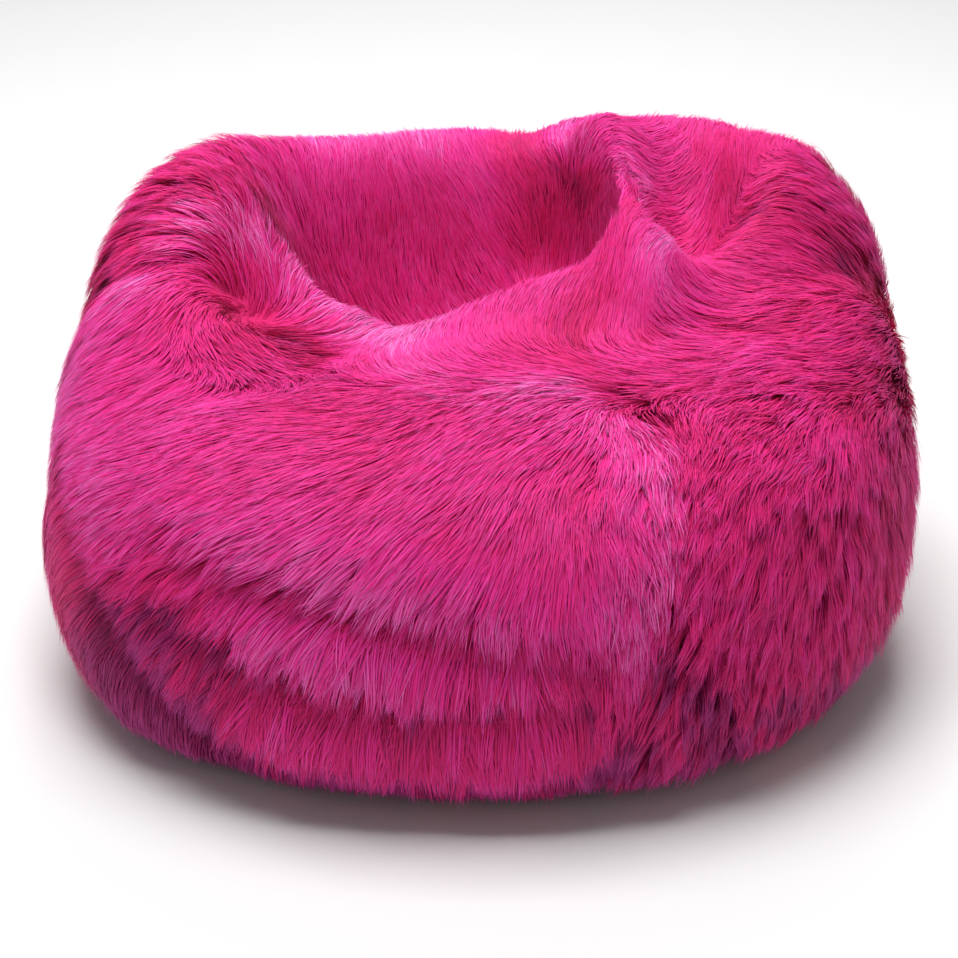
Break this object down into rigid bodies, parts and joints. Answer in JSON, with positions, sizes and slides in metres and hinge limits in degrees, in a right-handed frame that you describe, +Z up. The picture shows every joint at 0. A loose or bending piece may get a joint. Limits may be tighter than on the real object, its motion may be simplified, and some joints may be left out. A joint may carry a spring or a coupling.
{
  "type": "bean bag chair",
  "caption": "Round bean bag chair in hot pink long-pile faux fur, a washable cover over a bead-filled liner, with a sat-in seat hollow.",
  "frame": {"origin": "on the floor under the middle of the bag's bounding box", "axes": "+Z up, +Y to the high back of the seat, -Y to the low front, +X to the right as seen from the front"},
  "size_m": [0.9185, 0.8352, 0.5122],
  "materials": {
    "fur": "matte",
    "base_cloth": "matte",
    "liner_cloth": "matte",
    "beads": "matte",
    "cover_zip_tape": "matte",
    "cover_zip_coil": "satin",
    "liner_zip_tape": "matte",
    "liner_zip_coil": "satin",
    "zip_metal": "satin"
  },
  "bodies": {
    "bag": {"bead_fill": "beads", "cover_base_back": "base_cloth", "cover_base_front": "base_cloth", "cover_gore_back_left": "fur", "cover_gore_back_right": "fur", "cover_gore_front_left": "fur", "cover_gore_front_right": "fur", "cover_top_cap": "fur", "cover_zip_closed_end_stop": "zip_metal", "cover_zip_coil_back": "cover_zip_coil", "cover_zip_coil_front": "cover_zip_coil", "cover_zip_open_end_stop": "zip_metal", "cover_zip_tape_back": "cover_zip_tape", "cover_zip_tape_front": "cover_zip_tape", "liner_base_back": "liner_cloth", "liner_base_front": "liner_cloth", "liner_gore_back_left": "liner_cloth", "liner_gore_back_right": "liner_cloth", "liner_gore_front_left": "liner_cloth", "liner_gore_front_right": "liner_cloth", "liner_top_cap": "liner_cloth", "liner_zip_closed_end_stop": "zip_metal", "liner_zip_coil_back": "liner_zip_coil", "liner_zip_coil_front": "liner_zip_coil", "liner_zip_open_end_stop": "zip_metal", "liner_zip_tape_back": "liner_zip_tape", "liner_zip_tape_front": "liner_zip_tape"},
    "cover_slider": {"cover_zip_slider": "zip_metal"},
    "pull_tab": {"cover_zip_pull_tab": "zip_metal"},
    "liner_slider": {"liner_zip_slider": "zip_metal"}
  },
  "joints": [
    {"name": "cover_zip_slide", "type": "slide", "parent": "bag", "child": "cover_slider", "axis": [1, 0, 0], "range_m": [0, 0.471]},
    {"name": "pull_tab_turn", "type": "hinge", "parent": "cover_slider", "child": "pull_tab", "pos_m": [-0.236, 0, 0.00195], "axis": [0, 1, 0], "range_deg": [0, 175]},
    {"name": "liner_zip_slide", "type": "slide", "parent": "bag", "child": "liner_slider", "axis": [1, 0, 0], "range_m": [0, 0.323]}
  ]
}
